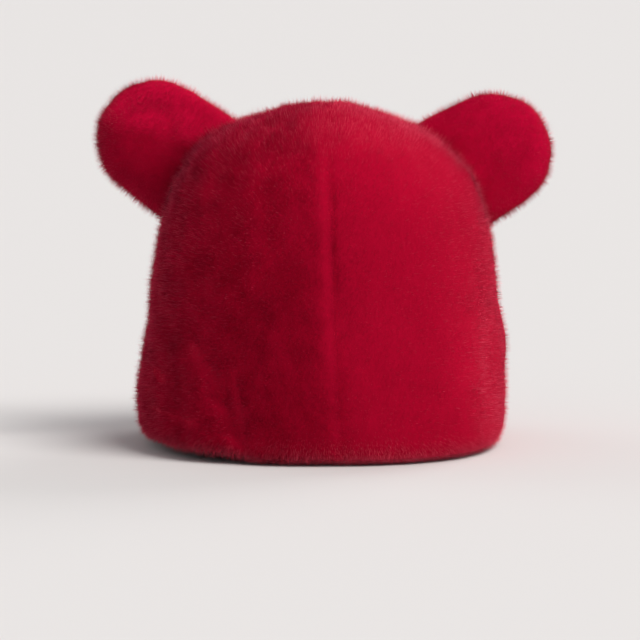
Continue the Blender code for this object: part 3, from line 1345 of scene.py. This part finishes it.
@dataclass
class RoundEar:
    """One padded ear: its stuffed core and its pile."""

    side: Side
    centre: Point
    nap_turn: Point
    puff: float  # how much rounder the nap makes the ear look than its core is
    foot_turn: Point  # how the nap turns further beside the crown
    lobe_turn: Point = (0.0, 0.0, 0.0)  # and how it turns on the ear's upper lobe
    lobe_run: float = 16.0 * MM
    lobe_start: float = 0.25
    lobe_slant: float = 0.375
    # painted highlight: how much paler the hair is on the upper lobe, where the light falls
    lobe_highlight: float = 0.0
    lobe_comb: Point = (-0.8 * MM, 0.0, -1.1 * MM)
    skin_depth: float = 1.2 * MM
    lobe_depth: float = 0.27 * MM
    ruffle: float = 0.065  # how unevenly the ear's nap lies
    broad_nap: Patches = Patches(12.0 * MM, 45)
    fine_nap: Patches = Patches(4.0 * MM, 46)
    broad_swirl: Patches = Patches(15.0 * MM, 41, 0.7 * MM)
    fine_swirl: Patches = Patches(8.0 * MM, 42, 0.5 * MM)
    tufts: Patches = Patches(8.0 * MM, 44, 0.3 * MM)
    broad_tone: Patches = Patches(12.0 * MM, 43, 0.08)
    fine_tone: Patches = Patches(3.5 * MM, 47, 1.6)  # times the ruffle
    tone_spread: float = 0.08
    # painted shade: how much darker the hair is in the fold beside the crown
    foot_shade: float = 0.15
    hairs: int = 42000
    looseness: float = 0.25
    radius: float = 34.0 * MM
    bare_reach: float = 1.2 * MM  # a face this near the crown carries no hair
    foot_reach: float = 11.0 * MM
    fullness: float = 0.4 * MM
    splay: float = 1.0 * MM
    fringe: float = 0.35
    edge_fringe: float = 4.5  # how much more guard hair there is round the ear's outline
    edge_facing: Ramp = Ramp(0.8, 0.3)  # over parts of the normals
    band: Ramp = Ramp(0.60, 0.95)  # over parts of the radius
    band_share: float = 0.35
    lobe_bareness: float = 0.85
    seed: int = 500

    @property
    def node(self) -> str:
        """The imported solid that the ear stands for."""
        return f"ear_{self.side.word}"

    def coat(self, crown: list[BVHTree]) -> tuple[Coat, Array]:
        """The ear's surface without the foot that is sewn on, and how near it is to the crown.

        Args:
            crown: The surfaces of the crown's panels.

        Returns:
            The surface, and the nearness from 0 to 1.
        """

        def grows(middles: Array, normals: Array) -> Array:
            """True where the crown isn't near."""
            free = np.ones(len(middles), bool)
            for tree in crown:
                for index, middle in enumerate(middles):
                    near = tree.find_nearest(Vector(middle), self.bare_reach)
                    if near[0] is not None and near[1].dot(Vector(normals[index])) < 0:
                        free[index] = False
            return free

        coat = Coat.of_node(self.node, grows)
        return coat, coat.nearness(crown, self.foot_reach)

    def lobe(self, places: Array) -> Array:
        """From 0 on the ear's lower part to 1 on its upper lobe, across a slanting fold.

        Args:
            places: Where the hairs are.

        Returns:
            The upper lobe's share at each place.
        """
        away = places - self.centre
        rise = (away[:, 2] + self.lobe_slant * away[:, 0]) / self.lobe_run + self.lobe_start
        return smooth(np.clip(rise, 0.0, 1.0))

    def nap(self, places: Array, foot: Array) -> Array:
        """Which way the lit flanks of the hair turn from the surface's normal.

        Args:
            places: Where the hairs are.
            foot: How near each place is to the crown.

        Returns:
            A vector for each place.
        """
        turn = self.nap_turn + (places - self.centre) / self.radius * self.puff
        turn += np.outer(self.lobe(places), self.lobe_turn) + np.outer(foot, self.foot_turn)
        return turn + self.ruffle * (self.broad_nap.vectors(places) + self.fine_nap.vectors(places))

    def core(self, coat: Coat, foot: Array, under: Material) -> Object:
        """The stuffed core under the pile.

        Args:
            coat: The ear's surface.
            foot: How near each of its points is to the crown.
            under: The finish under the hair.

        Returns:
            The core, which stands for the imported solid.
        """
        core = merged_solid(self.node)
        for face in core.faces:
            face.smooth = True
        depth = self.skin_depth + (self.lobe_depth - self.skin_depth) * self.lobe(coat.points)
        for vertex, normal in zip(core.verts, coat.normals):
            vertex.co -= Vector(normal) * depth[vertex.index]
        piece = drawn_piece(f"ear_core_{self.side.word}", core, under)
        comb_skin(piece.data, coat, self.nap(coat.points, foot))
        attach(piece, BODY)
        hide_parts(self.node)
        return piece

    def pile(self, coat: Coat, foot: Array, finishes: Finishes) -> Object:
        """The ear's hair.

        Args:
            coat: The ear's surface.
            foot: How near each of its points is to the crown.
            finishes: The dense pile's finish and the guard hair's.

        Returns:
            The piece of pile.
        """
        rng = np.random.default_rng(self.seed + self.side.value)
        spots = coat.scatter(self.hairs, rng, lambda middles: np.ones(len(middles)))
        places, normals = spots.read(coat.points), unit(spots.read(coat.normals))
        folded, lobe = spots.read(foot), self.lobe(places)
        away = places - self.centre
        comb = unit(away) * self.splay * (1.0 - lobe)[:, None] + np.outer(lobe, self.lobe_comb)
        comb += self.broad_swirl.vectors(places) + self.fine_swirl.vectors(places)
        # painted shade beside the crown and painted highlight on the upper lobe, over random tone
        shade = 0.5 + self.broad_tone.values(places) - self.foot_shade * folded
        shade += self.ruffle * self.fine_tone.values(places) + self.lobe_highlight * lobe
        shade += rng.normal(0.0, self.tone_spread, len(places))
        out = np.linalg.norm(away, axis=1) / self.radius
        band = self.band_share * self.band.at(out) * (1.0 - self.lobe_bareness * lobe)
        edge = np.maximum(self.edge_facing.at(np.abs(normals[:, 1])), band)
        growth = Growth(
            places,
            normals,
            lean=along(comb, normals),
            height=self.tufts.values(places) + self.fullness * (1.0 - folded),
            shade=np.clip(shade, *SHADES),
            nap=self.nap(places, folded),
            loose=np.full(len(places), self.looseness),
            floor=np.zeros(len(places)),
            combed=np.zeros(len(places)),
            fringe=self.fringe + self.edge_fringe * edge,
        )
        return Pile(*finishes, "ear_fur").build(f"pile_ear_{self.side.word}", growth, rng)


# The stage


@dataclass(frozen=True)
class Lamp:
    """A lamp that shines from a tilt off the vertical and an azimuth to the right of the front."""

    name: str
    strength: float
    tilt: float  # in degrees, as the azimuth
    azimuth: float
    colour: Colour = (1.0, 0.97, 0.97)


@dataclass
class Studio:
    """The plain pale floor, the soft light and the camera."""

    view_distance: float = 2.2
    view_elevation: float = math.radians(5.3)
    view_width: float = 0.3594  # of what the picture takes in at the hat
    view_end: float = 200.0
    aim: Point = (-0.0017, 0.0071, 0.0680)
    sensor: float = 36.0
    floor_size: float = 120.0
    floor_colour: Colour = (0.72, 0.70, 0.69)
    floor_roughness: float = 0.9
    sky_colour: Colour = (0.90, 0.92, 0.95)
    sky_strength: float = 0.36
    softness: float = math.radians(35)
    lamps: tuple[Lamp, ...] = (
        Lamp("key", 2.6, 39.0, 48.0, (1.0, 0.98, 0.96)),
        Lamp("back", 0.9, 62.0, 140.0),
        Lamp("side", 0.25, 62.0, -122.0),
    )

    def floor(self) -> Object:
        """The floor, with its finish.

        Returns:
            The floor's piece.
        """
        ground = bmesh.new()
        bmesh.ops.create_grid(ground, x_segments=1, y_segments=1, size=self.floor_size / 2)
        made, shader = plain_material("pale_floor")
        shader.inputs["Base Color"].default_value = socket_value(self.floor_colour)
        shader.inputs["Roughness"].default_value = self.floor_roughness
        piece = drawn_piece("floor", ground, made)
        return piece

    def light(self) -> None:
        """Lights the scene."""
        for lamp in self.lamps:
            light = bpy.data.lights.new(lamp.name, "SUN")
            light.energy = lamp.strength
            light.angle = self.softness
            light.color = lamp.colour
            turn = (math.radians(lamp.tilt), 0.0, math.radians(lamp.azimuth))
            linked(lamp.name, light).rotation_euler = Euler(turn)
        world = bpy.data.worlds.new("studio")
        world.use_nodes = True
        sky = world.node_tree.nodes["Background"]
        sky.inputs["Color"].default_value = socket_value(self.sky_colour)
        sky.inputs["Strength"].default_value = self.sky_strength
        bpy.context.scene.world = world
        bpy.context.scene.view_settings.view_transform = "Standard"

    def camera(self) -> None:
        """Sets up the camera in front of the hat and a little above it."""
        lens = bpy.data.cameras.new("camera")
        lens.sensor_width = self.sensor
        lens.lens = self.sensor * self.view_distance / self.view_width
        lens.clip_end = self.view_end
        camera = linked("camera", lens)
        back = Vector((0.0, -math.cos(self.view_elevation), math.sin(self.view_elevation)))
        camera.location = Vector(self.aim) + back * self.view_distance
        camera.rotation_euler = Euler((math.pi / 2 - self.view_elevation, 0.0, 0.0))
        bpy.context.scene.camera = camera


def main() -> None:
    """Dresses the hat and sets the stage."""
    logging.basicConfig(level=logging.INFO, format="%(message)s")
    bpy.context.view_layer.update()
    tone, mottle = pile_tone_group(), mottle_group()
    guard = GUARD_HAIR.material(tone)
    crown_hair, ear_hair = (CROWN_PILE.material(tone), guard), (EAR_PILE.material(tone), guard)
    under, back = UNDERCOAT.material(mottle), PELT_BACK.material(mottle)
    ear_under = EAR_UNDERCOAT.material(mottle)
    combing = Combing()
    panels = [CrownPanel(side, combing) for side in Side]
    ears = [
        RoundEar(
            Side.LEFT,
            centre=(-0.094, 0.009, 0.169),
            nap_turn=(0.0, 0.0, -0.26),
            puff=0.6,
            foot_turn=(-0.5, 0.0, -0.4),
            lobe_turn=(0.35, 0.0, 0.70),
            # painted highlight on the upper lobe
            lobe_highlight=0.46,
            ruffle=0.11,
            band_share=0.6,
        ),
        RoundEar(
            Side.RIGHT,
            centre=(0.095, 0.009, 0.162),
            nap_turn=(0.06, 0.0, -0.02),
            puff=0.1,
            foot_turn=(-0.05, 0.0, 0.0),
            lobe_start=2.5,
            lobe_comb=(-0.6 * MM, 0.0, -0.8 * MM),
        ),
    ]
    ear_trees = [node_tree(ear.node) for ear in ears]
    crown_trees = [node_tree(panel.node) for panel in panels]
    pieces = []
    for panel in panels:
        coat, foot = panel.coat(ear_trees)
        pieces.append(panel.skin(coat, under, back))
        pieces += [panel.pile(coat, foot, half, crown_hair) for half in Half]
    for ear in ears:
        coat, foot = ear.coat(crown_trees)
        pieces += [ear.core(coat, foot, ear_under), ear.pile(coat, foot, ear_hair)]
    for piece in pieces:
        LOG.info("%s: %d faces", piece.name, len(piece.data.polygons))
    studio = Studio()
    studio.floor()
    studio.light()
    studio.camera()


if __name__ == "__main__":
    main()
